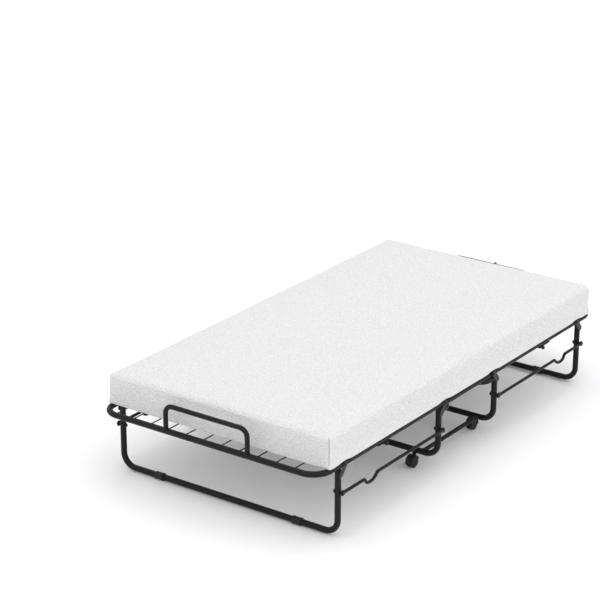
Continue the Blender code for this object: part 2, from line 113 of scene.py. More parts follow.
PLATE_T = 0.002
PLATE_R = 0.0115
PLATE_FOOT_Z = 0.238
RIVET_HEAD_R, RIVET_HEAD_T = 0.0068, 0.0032
TUBE_FACE_Y = SIDE_Y + TUBE_R
ROD_Y = TUBE_FACE_Y + GAP + PLATE_T + 0.0006 + ROD_R
EYE_R, EYE_T = 0.0105, 0.005
EYE_CLEAR = 0.0088
BOLT_HEAD_R, BOLT_HEAD_T, BOLT_CAP_T, WASHER_R = 0.0078, 0.0042, 0.0062, 0.0055
PIN_R = 0.003
KINK = ((0.419, 0.0), (0.429, -0.006), (0.441, -0.015), (0.455, -0.0205), (0.473, -0.021),
        (0.488, -0.017), (0.497, -0.006), (0.505, 0.0))

SLEEVE_R, SLEEVE_LENGTH, SLEEVE_Y = 0.0145, 0.036, 0.304
END_LEG_BOTTOM_Z = SLEEVE_R

BRACKET_SPAN = (0.352, 0.425)
BRACKET_HALF_Y = 0.009
BRACKET_T = 0.002
# The cross bolt under a panel joint: place along the deck, radius, depth under the rail, reach.
KNOB_AT, KNOB_R, KNOB_DROP, KNOB_HALF_Y = 0.374, 0.0072, 0.0098, 0.013
TAB_HALF_X, TAB_T = 0.0065, 0.0024
SCREW_AT, SCREW_R = (0.398, 0.418), 0.004

CASTER_Y = 0.372
CASTER_TRAIL = 0.0135
WHEEL_R, WHEEL_W, WEB_HALF, AXLE_R = 0.022, 0.0095, 0.003, 0.003
WHEEL_CLEAR = 0.0006
HUB_R = 0.0165
HOOD_R, HOOD_T = 0.0257, 0.0021
STEM_ROOT_Z, BOSS_TOP_Z, BOSS_R, STEM_R = 0.032, 0.0495, 0.0068, 0.0052
HOOD_TILT = math.radians(12)

MATTRESS_ENDS = (-0.899, 0.913)
MATTRESS_HALF_Y = 0.489
MATTRESS_Z = (DECK_Z + TUBE_R + GAP, 0.400)

LATCH_Y = -0.0205
LATCH_WIRE_R = 0.0025
LATCH_PLAY = 0.0008
LATCH_KNEE = 0.110
LATCH_HOOK_R = 0.0125
LATCH_LEAN = math.radians(6)

# Dimensions of the finish.
TUBE_SIDES = 28
WIRE_SIDES = 12
TURN_STEPS = 40
CORNER_STEPS = 14
BEAD_R = 0.0015            # weld bead
BEAD_STEPS = 32
EDGE = 0.0005              # softened edge of a stamped plate

PAD_INSET = 0.004          # the pad starts this much smaller, and its cover swells back out
PAD_ROUND, PAD_ROUND_SIDE, PAD_ROUND_UNDER = 0.021, 0.011, 0.007
PAD_FINE, PAD_COARSE = 7, 0.0155
PAD_SWELL_TOP, PAD_SWELL_SIDE = 0.0085, 0.0065
SEAM_DEPTH, SEAM_HALF_WIDTH = 0.0016, 0.0022
# Edge radius of the pad by share of its height, and the cover's waves as (scale, height).
PAD_EDGES = ((0, PAD_ROUND_UNDER), (0.25, PAD_ROUND_SIDE), (0.55, PAD_ROUND_SIDE), (1, PAD_ROUND))
PAD_WAVES = ((5.5, 0.0024), (19.0, 0.0009))
SEAM_REACH = 0.09          # a corner's seam and puckers stay within this
PUCKER_PITCH, PUCKER_WIDTH, PUCKER_DEPTH = 0.017, 0.012, 0.00045
COVER_FRAMES = 20          # length of the cloth simulation
LIP_Z, LIP_RISE, LIP_CLEAR = 0.2692, 0.034, 0.0009   # the cover hangs over the side rails
LIP_OPEN = 0.017           # and stays clear of the plates, this far each way of a pin

SKY_RANGE = (0.56, 1.30)   # strength of the surround at the horizon and overhead
FLOOR_GLOW = 0.04
FLOOR_HALF = 60.0          # half the floor's width
# Lamps as (name, place, power, size).
LAMPS = (("key", (-0.8, -1.0, 5.2), 34, 4.5), ("fill", (1.5, -5.5, 2.6), 26, 3.5))
LAMP_AIM = Vector((0, 0, 0.2))
CAMERA_PLACE, CAMERA_AIM = Vector((-6.2458, -4.2163, 3.3810)), Vector((0.5119, 0.6487, 0.2))
CAMERA_LENS = 129.75

SIDES = (("left", 1), ("right", -1))
ENDS = (("head", -1), ("foot", 1))
materials = {}


# ---------------------------------------------------------------- materials

def new_material(name):
    made = bpy.data.materials.new(name)
    made.use_nodes = True
    materials[name] = made
    tree = made.node_tree
    return tree, tree.nodes["Principled BSDF"]


def node(tree, kind, settings=None, **inputs):
    """A node with its settings and inputs. An input that is a socket is linked."""
    made = tree.nodes.new(kind)
    for key, value in (settings or {}).items():
        setattr(made, key, value)
    for key, value in inputs.items():
        socket = made.inputs[key.replace("_", " ")]
        if isinstance(value, bpy.types.NodeSocket):
            tree.links.new(value, socket)
        else:
            socket.default_value = value
    return made


def noise_map(tree, place, scale, detail=3.0, rough=0.55):
    return node(tree, "ShaderNodeTexNoise", Vector=place, Scale=scale, Detail=detail,
                Roughness=rough).outputs["Fac"]


def ranged(tree, value, low, high, from_low=0.0, from_high=1.0):
    made = node(tree, "ShaderNodeMapRange", Value=value)
    for key, number in (("From Min", from_low), ("From Max", from_high),
                        ("To Min", low), ("To Max", high)):
        made.inputs[key].default_value = number
    return made.outputs["Result"]


def math_node(tree, operation, first, second):
    made = tree.nodes.new("ShaderNodeMath")
    made.operation = operation
    for socket, value in zip(made.inputs, (first, second)):
        if isinstance(value, bpy.types.NodeSocket):
            tree.links.new(value, socket)
        else:
            socket.default_value = value
    return made.outputs[0]


def colour_mix(tree, factor, dark, light):
    made = tree.nodes.new("ShaderNodeMix")
    made.data_type = "RGBA"
    tree.links.new(factor, made.inputs["Factor"])
    for key, value in (("A", dark), ("B", light)):
        socket = next(s for s in made.inputs if s.name == key and s.type == "RGBA")
        if isinstance(value, bpy.types.NodeSocket):
            tree.links.new(value, socket)
        else:
            socket.default_value = (*value, 1)
    return next(s for s in made.outputs if s.type == "RGBA")


def bump(tree, height, distance, strength=1.0, normal=None):
    made = node(tree, "ShaderNodeBump", Strength=strength, Distance=distance, Height=height)
    if normal is not None:
        tree.links.new(normal, made.inputs["Normal"])
    return made.outputs["Normal"]


def set_shader(tree, shader, **values):
    for key, value in values.items():
        socket = shader.inputs[key.replace("_", " ")]
        if isinstance(value, bpy.types.NodeSocket):
            tree.links.new(value, socket)
        else:
            socket.default_value = value


def powder_coat(name, dark, light, rough, peel_scale=620.0, peel=0.00006):
    """Baked powder paint: fine orange peel, cloudy gloss and a few rubbed patches."""
    tree, shader = new_material(name)
    place = node(tree, "ShaderNodeTexCoord").outputs["Object"]
    cloud = noise_map(tree, place, 34.0, 4.0)
    fine = noise_map(tree, place, peel_scale, 2.0)
    speck = noise_map(tree, place, 2400.0, 1.0)
    rubbed = ranged(tree, noise_map(tree, place, 11.0, 6.0, 0.7), 0.0, 1.0, 0.60, 0.74)
    tone = math_node(tree, "ADD", math_node(tree, "MULTIPLY", cloud, 0.7),
                     math_node(tree, "MULTIPLY", speck, 0.3))
    base = colour_mix(tree, tone, dark, light)
    worn = colour_mix(tree, math_node(tree, "MULTIPLY", rubbed, 0.35), base,
                      tuple(c * 1.7 for c in light))
    gloss = math_node(tree, "ADD", ranged(tree, cloud, rough - 0.07, rough + 0.07, 0.3, 0.7),
                      math_node(tree, "MULTIPLY", rubbed, 0.06))
    height = math_node(tree, "ADD", fine, math_node(tree, "MULTIPLY", speck, 0.25))
    set_shader(tree, shader, Base_Color=worn, Roughness=gloss, Specular_IOR_Level=0.22,
               Normal=bump(tree, height, peel))


def dark_steel(name):
    """Blackened zinc plate with a faint rolling grain."""
    tree, shader = new_material(name)
    place = node(tree, "ShaderNodeTexCoord").outputs["Object"]
    stretch = node(tree, "ShaderNodeMapping", Vector=place)
    stretch.inputs["Scale"].default_value = (900, 900, 60)
    grain = noise_map(tree, stretch.outputs["Vector"], 1.0, 3.0)
    cloud = noise_map(tree, place, 120.0, 4.0)
    base = colour_mix(tree, cloud, (0.014, 0.014, 0.015), (0.034, 0.034, 0.036))
    rough = math_node(tree, "ADD", ranged(tree, cloud, 0.30, 0.46, 0.3, 0.7),
                      math_node(tree, "MULTIPLY", grain, 0.06))
    set_shader(tree, shader, Base_Color=base, Roughness=rough, Metallic=0.6,
               Normal=bump(tree, grain, 0.00004))


def moulded(name, dark, light, rough, grain_scale, depth, ring=0.0):
    """Moulded plastic or rubber with a spark-eroded grain and dull, dusty patches."""
    tree, shader = new_material(name)
    place = node(tree, "ShaderNodeTexCoord").outputs["Object"]
    cells = node(tree, "ShaderNodeTexVoronoi", Vector=place, Scale=grain_scale).outputs["Distance"]
    cloud = noise_map(tree, place, 90.0, 4.0)
    dust = ranged(tree, noise_map(tree, place, 300.0, 5.0, 0.65), 0.0, 1.0, 0.52, 0.72)
    base = colour_mix(tree, cloud, dark, light)
    dusty = colour_mix(tree, math_node(tree, "MULTIPLY", dust, 0.25 + ring), base,
                       tuple(c * 2.2 for c in light))
    set_shader(tree, shader, Base_Color=dusty, Specular_IOR_Level=0.4,
               Roughness=ranged(tree, cloud, rough - 0.06, rough + 0.08, 0.3, 0.7),
               Normal=bump(tree, cells, depth))


def knit_cover(name):
    """White jersey over foam: soft blistered cells with painted shade in their hollows, fine knit loops,
    painted shade and dust in the corner seams, and a little sheen.
    The pattern hangs on the cloth through the stored rest place, so it never slides on a bend."""
    tree, shader = new_material(name)
    place = node(tree, "ShaderNodeAttribute", {"attribute_name": "rest_place"}).outputs["Vector"]
    drift = node(tree, "ShaderNodeTexNoise", Vector=place, Scale=70.0, Detail=2.0).outputs["Color"]
    push = node(tree, "ShaderNodeVectorMath", {"operation": "SCALE"})
    tree.links.new(drift, push.inputs[0])
    push.inputs["Scale"].default_value = 0.006
    moved = node(tree, "ShaderNodeVectorMath", {"operation": "ADD"})
    tree.links.new(place, moved.inputs[0])
    tree.links.new(push.outputs["Vector"], moved.inputs[1])
    woven = moved.outputs["Vector"]
    cells = node(tree, "ShaderNodeTexVoronoi", {"feature": "SMOOTH_F1"}, Vector=woven, Scale=135.0,
                 Randomness=0.85, Smoothness=0.35).outputs["Distance"]
    crease = noise_map(tree, woven, 210.0, 3.0, 0.6)
    loops = node(tree, "ShaderNodeTexVoronoi", Vector=woven, Scale=820.0,
                 Randomness=0.45).outputs["Distance"]
    cloud = noise_map(tree, place, 5.0, 3.0)
    seam = node(tree, "ShaderNodeAttribute", {"attribute_name": "seam"}).outputs["Fac"]
    puff = math_node(tree, "ADD", ranged(tree, cells, 1.0, 0.0, 0.0, 0.75),
                     math_node(tree, "MULTIPLY", crease, 0.8))
    # Painted shade: the colour darkens in the hollows between the raised puffs and lightens on their tops.
    painted_hollow_shade = ranged(tree, puff, 0.0, 1.0, 0.55, 1.25)
    base = colour_mix(tree, painted_hollow_shade, (0.76, 0.76, 0.765), (0.90, 0.90, 0.90))
    fibre = colour_mix(tree, ranged(tree, loops, 0.0, 0.22, 0.1, 0.7), base, (0.70, 0.70, 0.705))
    tinted = colour_mix(tree, ranged(tree, cloud, 0.0, 0.16, 0.35, 0.7), fibre,
                        (0.83, 0.825, 0.81))
    # Painted shade and dust in the corner seams: the seam mask darkens the cover's colour along the seam
    # groove.
    seam_dust_and_shade = colour_mix(tree, math_node(tree, "MULTIPLY", seam, 0.75), tinted, (0.28, 0.28, 0.285))
    relief = bump(tree, puff, 0.0028)
    knit = bump(tree, loops, 0.00022, 1.0, relief)
    set_shader(tree, shader, Base_Color=seam_dust_and_shade, Roughness=ranged(tree, loops, 0.82, 0.94),
               Specular_IOR_Level=0.2, Sheen_Weight=0.12, Sheen_Roughness=0.55, Normal=knit)


# ---------------------------------------------------------------- shapes

def rounded(points, radius, steps=CORNER_STEPS):
    """The same path with each inner corner replaced by an arc."""
    points = [Vector(p) for p in points]
    path = [points[0]]
    for before, corner, after in zip(points, points[1:], points[2:]):
        back, ahead = (before - corner).normalized(), (after - corner).normalized()
        half = back.angle(ahead) / 2
        centre = corner + (back + ahead).normalized() * radius / math.sin(half)
        first = corner + back * radius / math.tan(half) - centre
        last = corner + ahead * radius / math.tan(half) - centre
        turn = first.rotation_difference(last)
        for step in range(steps + 1):
            share = turn.copy()
            share.angle = turn.angle * step / steps
            path.append(centre + share @ first)
    path.append(points[-1])
    return path


def flowing(points, steps=5):
    """A smooth path through the points."""
    points = [Vector(p) for p in points]
    padded = [points[0] * 2 - points[1], *points, points[-1] * 2 - points[-2]]
    path = []
    for a, b, c, d in zip(padded, padded[1:], padded[2:], padded[3:]):
        for step in range(steps):
            t = step / steps
            path.append(0.5 * (2 * b + (c - a) * t + (2 * a - 5 * b + 4 * c - d) * t ** 2
                               + (3 * b - a - 3 * c + d) * t ** 3))
    path.append(points[-1])
    return path


def dome(radius, height, base, steps=6):
    """Profile of a domed head from its crown at base + height out to its rim at base."""
    return [(radius * math.sin(a) + 1e-5, base + height * math.cos(a))
            for a in (math.pi / 2 * i / steps for i in range(steps + 1))]


def closed_mesh(name, points, faces):
    """A mesh whose faces all point out."""
    mesh = bpy.data.meshes.new(name)
    mesh.from_pydata(points, [], faces)
    made = bmesh.new()
    made.from_mesh(mesh)
    bmesh.ops.recalc_face_normals(made, faces=made.faces)
    made.to_mesh(mesh)
    made.free()
    return mesh


class Shape:
    """The vertices and faces of one piece while it is built up from closed skins."""

    def __init__(self):
        self.points = []
        self.faces = []

    def skin(self, rings, closed=False):
        """Joins rings of equal size, and caps the ends unless the rings close on themselves."""
        first, size, count = len(self.points), len(rings[0]), len(rings)
        for ring in rings:
            self.points.extend(tuple(p) for p in ring)
        for i in range(count if closed else count - 1):
            a, b = first + i * size, first + (i + 1) % count * size
            for j in range(size):
                k = (j + 1) % size
                self.faces.append((a + j, a + k, b + k, b + j))
        if not closed:
            last = first + (count - 1) * size
            self.faces.append(tuple(range(first + size - 1, first - 1, -1)))
            self.faces.append(tuple(range(last, last + size)))
        return self

    def tube(self, path, radius, sides=TUBE_SIDES, closed=False, cut=0.09):
        """A round tube along a path. Its cut ends lose a small edge, a share of the radius."""
        path = [Vector(p) for p in path]
        radii = list(radius) if hasattr(radius, "__len__") else [radius] * len(path)
        if not closed and cut:
            for at, nearer in ((0, 1), (-1, -2)):
                edge = radii[at] * cut
                inward = (path[nearer] - path[at]).normalized() * edge
                path.insert(1 if at == 0 else len(path) - 1, path[at] + inward)
                radii.insert(1 if at == 0 else len(radii) - 1, radii[at])
                radii[at] -= edge
        count = len(path)
        rings = []
        side = before = None
        for i, place in enumerate(path):
            back = path[i - 1] if i or closed else place
            ahead = path[(i + 1) % count] if i < count - 1 or closed else place
            along = (ahead - back).normalized()
            if side is None:
                side = along.orthogonal().normalized()
            else:
                side = before.rotation_difference(along) @ side
                side = (side - along * side.dot(along)).normalized()
            before = along
            up = along.cross(side)
            angles = (2 * math.pi * j / sides for j in range(sides))
            rings.append([place + radii[i] * (math.cos(a) * side + math.sin(a) * up) for a in angles])
        return self.skin(rings, closed)

    def turned(self, profile, centre, axis, steps=TURN_STEPS, closed=False, arc=None):
        """A profile of (radius, height) turned about an axis, all the way or over an arc (start, end)."""
        centre, turn = Vector(centre), Vector(axis).to_track_quat("Z", "Y").to_matrix()

        def place(radius, height, angle):
            return centre + turn @ Vector((radius * math.cos(angle), radius * math.sin(angle), height))
        if arc:
            angles = [arc[0] + (arc[1] - arc[0]) * i / steps for i in range(steps + 1)]
            return self.skin([[place(r, h, a) for r, h in profile] for a in angles])
        angles = [2 * math.pi * i / steps for i in range(steps)]
        return self.skin([[place(r, h, a) for a in angles] for r, h in profile], closed)

    def slab(self, outline, axis, low, high, edge=EDGE):
        """A flat plate between two heights along an axis. outline(inset) gives its points."""
        axis = Vector(axis)
        return self.skin([[p + axis * height for p in outline(inset)]
                          for inset, height in ((edge, low), (0, low + edge),
                                                (0, high - edge), (edge, high))])

    def weld(self, joint, toward, along, main_r, bar_r):
        """A bead round the foot of a bar that runs from a tube's centre line in one direction."""
        joint, toward, along = Vector(joint), Vector(toward), Vector(along)
        third = toward.cross(along)
        path, radii = [], []
        for step in range(BEAD_STEPS):
            a = 2 * math.pi * step / BEAD_STEPS
            depth = main_r ** 2 - (bar_r * math.sin(a)) ** 2
            reach = math.sqrt(max(depth, (main_r * 0.35) ** 2)) + BEAD_R * 0.3
            place = joint + toward * reach + bar_r * (along * math.cos(a) + third * math.sin(a))
            path.append(place)
            radii.append(BEAD_R * (1 + 0.35 * noise.noise(place * 420)))
        return self.tube(path, radii, 8, closed=True)

    def piece(self, name, nodes, finish, slot, sharp=38):
        """Makes the mesh, and puts it in place of its CAD nodes on their body."""
        mesh = closed_mesh(name, self.points, self.faces)
        mesh.shade_smooth()
        mesh.set_sharp_from_angle(angle=math.radians(sharp))
        obj = bpy.data.objects.new(name, mesh)
        bpy.context.scene.collection.objects.link(obj)
        mesh.materials.append(materials[finish])
        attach(obj, frame["nodes"][nodes[0]]["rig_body"])
        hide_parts(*nodes)
        return obj


# ---------------------------------------------------------------- frame

def bent_leg(name, x, bottom_z):
    ends = [(x, SIDE_Y, LEG_TOP_Z), (x, SIDE_Y, bottom_z),
            (x, -SIDE_Y, bottom_z), (x, -SIDE_Y, LEG_TOP_Z)]
    shape = Shape().tube(rounded(ends, LEG_CORNER), TUBE_R)
    for side in (-1, 1):
        shape.turned(dome(TUBE_R * 0.86, 0.0009, LEG_TOP_Z - 0.0002), (x, side * SIDE_Y, 0), (0, 0, 1))
    shape.piece(name + "_tube", [name], "powder_black", "black_tube")


def spacer_bar(name, side):
    shape = Shape()
    reach = CENTRE_LEG_X - TUBE_R * 0.8
    shape.tube([(-reach, side * SPACER_Y, CENTRE_LEG_BOTTOM_Z),
                (reach, side * SPACER_Y, CENTRE_LEG_BOTTOM_Z)], SPACER_R)
    for end in (-1, 1):
        shape.weld((end * CENTRE_LEG_X, side * SPACER_Y, CENTRE_LEG_BOTTOM_Z), (-end, 0, 0),
                   (0, 1, 0), TUBE_R, SPACER_R)
    shape.piece(name + "_tube", [name], "powder_black", "black_tube")


def centre_frame():
    shape = Shape()
    reach = CENTRE_LEG_X - TUBE_R * 0.8
    for end in (-1, 1):
        ends = [(end * reach, SIDE_Y, CENTRE_BAR_Z), (end * CENTRE_BAR_X, SIDE_Y, CENTRE_BAR_Z),
                (end * CENTRE_BAR_X, -SIDE_Y, CENTRE_BAR_Z), (end * reach, -SIDE_Y, CENTRE_BAR_Z)]
        shape.tube(rounded(ends, CENTRE_BAR_CORNER), TUBE_R)
        for side in (-1, 1):
            shape.weld((end * CENTRE_LEG_X, side * SIDE_Y, CENTRE_BAR_Z), (-end, 0, 0), (0, 0, 1),
                       TUBE_R, TUBE_R)
    for side in (-1, 1):
        shape.tube([(-CENTRE_RAIL_END, side * SIDE_Y, CENTRE_RAIL_Z),
                    (CENTRE_RAIL_END, side * SIDE_Y, CENTRE_RAIL_Z)], TUBE_R)
    shape.piece("centre_frame_tubes", ["centre_frame"], "powder_black", "black_tube")


def wire_end(bar_r, rise, wire_r):
    """How far from a bar's centre line a wire stops, with its lowest edge just clear of the bar."""
    return math.sqrt(bar_r ** 2 - max(rise - wire_r, 0) ** 2) + GAP


def wire_setback(y, bar_r, corner):
    """How far a lengthwise wire stops from its bar, and further where the bar bends round a corner."""
    wall = wire_end(bar_r, WIRE_RISE, WIRE_R)
    into_bend = abs(y) + WIRE_R - (SIDE_Y - corner)
    if not corner or into_bend < 0:
        return wall
    return corner - math.sqrt((corner - wall) ** 2 - into_bend ** 2)


def wire_grid(name, bars, bar_z, flip, cross_at):
    """Lengthwise wires pressed on to two bars (x, radius, corner), and cross wires welded under."""
    reach = (WIRE_COUNT - 1) / 2
    rows = [flip * (WIRE_SHIFT + WIRE_PITCH * (i - reach)) for i in range(WIRE_COUNT)]
    (start_x, *start_bar), (end_x, *end_bar) = sorted(bars)
    z = bar_z + WIRE_RISE
    cross_rise = WIRE_RISE - WIRE_R - CROSS_WIRE_R + WIRE_WELD
    cross_z = bar_z + cross_rise
    edge = SIDE_Y - wire_end(TUBE_R, cross_rise, CROSS_WIRE_R)
    shape = Shape()
    swell = 0.004
    for y in rows:
        x0 = start_x + wire_setback(y, *start_bar) - 2 * GAP
        x1 = end_x - wire_setback(y, *end_bar) + 2 * GAP
        sag = [(x, y, z - 0.0006 * math.sin(math.pi * (x - x0) / (x1 - x0)))
               for x in (x0, x0 + swell, *(x0 + (x1 - x0) * i / 6 for i in range(1, 6)), x1 - swell, x1)]
        radii = [WIRE_R * 1.3, *[WIRE_R] * (len(sag) - 2), WIRE_R * 1.3]
        shape.tube(sag, radii, WIRE_SIDES)
        for x in cross_at:
            shape.turned([(0.0003, -0.0021), (0.0016, -0.0014), (0.0023, 0), (0.0016, 0.0014),
                          (0.0003, 0.0021)], (x, y, cross_z + CROSS_WIRE_R * 0.6), (0, 0, 1), 10)
    for x in cross_at:
        shape.tube([(x, -edge, cross_z), (x, 0, cross_z), (x, edge, cross_z)], CROSS_WIRE_R, WIRE_SIDES)
    shape.piece(name + "_mesh", [name], "wire_black", "black_wire")


def crossbar(shape, x):
    reach = SIDE_Y - TUBE_R * 0.4
    shape.tube([(x, -reach, DECK_Z), (x, reach, DECK_Z)], CROSSBAR_R)
    for side in (-1, 1):
        shape.weld((x, side * SIDE_Y, DECK_Z), (0, -side, 0), (1, 0, 0), TUBE_R, CROSSBAR_R)


def outer_frame(name, end):
    shape = Shape()
    inner_x = end * (PIVOT_X + PANEL_SPLIT) + end * GAP
    ends = [(inner_x, SIDE_Y, DECK_Z), (end * END_X, SIDE_Y, DECK_Z),
            (end * END_X, -SIDE_Y, DECK_Z), (inner_x, -SIDE_Y, DECK_Z)]
    shape.tube(rounded(ends, DECK_CORNER, 20), TUBE_R)
    crossbar(shape, end * (PIVOT_X + OUTER_BAR))
    shape.piece(name + "_tubes", [name], "powder_black", "black_tube")


def inner_frame(name, end):
    shape = Shape()
    for side in (-1, 1):
        shape.tube([(end * (PIVOT_X - RAIL_PAST_PIN), side * SIDE_Y, DECK_Z),
                    (end * (PIVOT_X + PANEL_SPLIT), side * SIDE_Y, DECK_Z)], TUBE_R)
    for distance in INNER_BARS:
        crossbar(shape, end * (PIVOT_X + distance))
    shape.piece(name + "_tubes", [name], "powder_black", "black_tube")


def handle(name, end):
    x, top = end * END_X, DECK_Z + HANDLE_RISE
    foot = DECK_Z + TUBE_R * 0.8
    ends = [(x, HANDLE_Y, foot), (x, HANDLE_Y, top), (x, -HANDLE_Y, top), (x, -HANDLE_Y, foot)]
    shape = Shape().tube(rounded(ends, HANDLE_CORNER), HANDLE_R)
    for side in (-1, 1):
        shape.weld((x, side * HANDLE_Y, DECK_Z), (0, 0, 1), (0, 1, 0), TUBE_R, HANDLE_R)
    shape.piece(name + "_tube", [name], "powder_black", "black_tube")


# ---------------------------------------------------------------- fittings

def pivot_plate(name, leg_x, pin_x, side):
    """A stamped link plate with softened edges, its riveted pin, and the weld along the leg."""
    foot, pin = Vector((leg_x, 0, PLATE_FOOT_Z)), Vector((pin_x, 0, DECK_Z))
    along = math.atan2(pin.z - foot.z, pin.x - foot.x)

    def outline(inset):
        return [centre + (PLATE_R - inset) * Vector((math.cos(a), 0, math.sin(a)))
                for centre, start in ((pin, along - math.pi / 2), (foot, along + math.pi / 2))
                for a in (start + math.pi * step / 16 for step in range(17))]
    near = TUBE_FACE_Y + GAP
    far = near + PLATE_T
    shape = Shape().slab(outline, (0, side, 0), near, far)
    axis, centre = (0, side, 0), (pin_x, side * SIDE_Y, DECK_Z)
    collar = [(RIVET_HEAD_R * 1.25, far - 0.0002), (RIVET_HEAD_R * 1.25, far + 0.0004)]
    head = dome(RIVET_HEAD_R, RIVET_HEAD_T - 0.0006, far + 0.0006)
    shape.turned([(r, h - SIDE_Y) for r, h in [*head, (RIVET_HEAD_R, far + 0.0004), *collar[::-1]]],
                 centre, axis)
    inner = SIDE_Y - TUBE_R - GAP
    tail = [(r, 2 * inner - h) for r, h in dome(RIVET_HEAD_R, RIVET_HEAD_T, inner)]
    shape.turned([(r, h - SIDE_Y) for r, h in [*tail, (PIN_R, inner), (PIN_R, far)]], centre, axis)
    shape.turned([(r, h - SIDE_Y) for r, h in
                  [*dome(0.0042, 0.0004, far - 0.0001), (0.0042, far - 0.0006)]],
                 (leg_x, side * SIDE_Y, PLATE_FOOT_Z), axis)
    shape.piece(name + "_steel", [name], "steel_dark", "zinc_steel")


def rod_bolt(name, x, side):
    """A domed bolt through a leg upright and its rod's eye: head, washer, shank and cap nut."""
    eye_in, eye_out = ROD_Y - SIDE_Y - EYE_T / 2 - GAP, ROD_Y - SIDE_Y + EYE_T / 2 + GAP
    face = TUBE_R + GAP
    centre, axis = (x, side * SIDE_Y, ROD_BOLT_Z), (0, side, 0)
    head = dome(BOLT_HEAD_R, BOLT_HEAD_T - 0.0012, eye_out + 0.0012)
    profile = [*head, (BOLT_HEAD_R, eye_out + 0.0002), (BOLT_HEAD_R - 0.0004, eye_out),
               (PIN_R, eye_out), (PIN_R, eye_in), (WASHER_R, eye_in), (WASHER_R, face),
               (PIN_R, face), (PIN_R, -face), (BOLT_HEAD_R - 0.0004, -face),
               (BOLT_HEAD_R, -face - 0.0004), (BOLT_HEAD_R, -face - 0.0022)]
    cap = [(r * 0.86, -h) for r, h in dome(BOLT_HEAD_R, BOLT_CAP_T - 0.0026, face + 0.0026)]
    shape = Shape().turned([*profile, *cap[::-1]], centre, axis)
    shape.piece(name + "_cap", [name], "plastic_black", "black_plastic")


def side_rod(name, end, side):
    """The round rod with its dip, ending in two pressed eyes."""
    length = END_LEG_X - CENTRE_LEG_X
    neck = 0.022
    spots = [(EYE_CLEAR, 0.0), (neck, 0.0), (length * 0.3, 0.0), (KINK[0][0] - 0.02, 0.0), *KINK,
             (KINK[-1][0] + 0.02, 0.0), (length - neck, 0.0), (length - EYE_CLEAR, 0.0)]
    path = flowing([(end * (CENTRE_LEG_X + along), side * ROD_Y, ROD_BOLT_Z + drop)
                    for along, drop in spots])
    shape = Shape().tube(path, ROD_R, 18)
    half = EYE_T / 2
    hole = PIN_R + 0.0004
    ring = [(hole, -half), (EYE_R - 0.0009, -half), (EYE_R, -half + 0.0009), (EYE_R, half - 0.0009),
            (EYE_R - 0.0009, half), (hole, half)]
    for x in (end * CENTRE_LEG_X, end * END_LEG_X):
        shape.turned(ring, (x, side * ROD_Y, ROD_BOLT_Z), (0, side, 0), closed=True)
    shape.piece(name + "_bar", [name], "powder_black", "black_tube")


def joint_bracket(name, end, side):
    """The strap under a panel joint: a tab with a capped cross bolt, and two pan-head screws."""
    top = DECK_Z - TUBE_R - GAP
    middle = end * (PIVOT_X + sum(BRACKET_SPAN) / 2)
    half_x = (BRACKET_SPAN[1] - BRACKET_SPAN[0]) / 2
    corner = 0.004

    def outline(inset):
        points = []
        for sx, sy, start in ((1, 1, 0), (-1, 1, 1), (-1, -1, 2), (1, -1, 3)):
            cx, cy = middle + sx * (half_x - corner), side * SIDE_Y + sy * (BRACKET_HALF_Y - corner)
            for step in range(7):
                a = math.pi / 2 * (start + step / 6)
                points.append(Vector((cx + (corner - inset) * math.cos(a),
                                      cy + (corner - inset) * math.sin(a), 0)))
        return points
    shape = Shape().slab(outline, (0, 0, 1), top - BRACKET_T, top, 0.0004)
    knob = (end * (PIVOT_X + KNOB_AT), side * SIDE_Y, DECK_Z - TUBE_R - KNOB_DROP)
    shank = 0.0048
    head = [*dome(KNOB_R, 0.0022, KNOB_HALF_Y - 0.0022), (KNOB_R, 0.0050), (KNOB_R * 0.9, 0.0044),
            (shank, 0.0044), (shank, 0.0020)]
    shape.turned([*head, *[(r, -h) for r, h in head[::-1]]], knob, (0, 1, 0))

    def tab(inset):
        low, high, reach = knob[2] - 0.002 + inset, top - BRACKET_T / 2, TAB_HALF_X - inset
        return [Vector((knob[0] + x, knob[1], z))
                for x, z in ((-reach, low), (reach, low), (reach, high), (-reach, high))]
    shape.slab(tab, (0, 1, 0), -TAB_T / 2, TAB_T / 2, 0.0003)
    for distance in SCREW_AT:
        shape.turned([*[(r, -h) for r, h in dome(SCREW_R, 0.0006, 0)], (SCREW_R, 0.0004)],
                     (end * (PIVOT_X + distance), side * SIDE_Y, top - BRACKET_T), (0, 0, 1), 24)
    shape.piece(name + "_strap", [name], "plastic_black", "black_plastic")


def sleeve(name, x, y):
    """A moulded sleeve with a raised lip at each end and a shallow groove between."""
    half, bore = SLEEVE_LENGTH / 2, TUBE_R + GAP
    lip = 0.0045
    outer = [(SLEEVE_R - 0.0008, half), (SLEEVE_R, half - 0.0008), (SLEEVE_R, half - lip),
             (SLEEVE_R - 0.0007, half - lip - 0.0007), (SLEEVE_R - 0.0007, 0.0)]
    ring = [(bore, half), *outer, *[(r, -h) for r, h in outer[-2::-1]], (bore, -half)]
    Shape().turned(ring, (x, y, END_LEG_BOTTOM_Z), (0, 1, 0), closed=True).piece(
        name + "_moulding", [name], "plastic_black", "black_plastic")


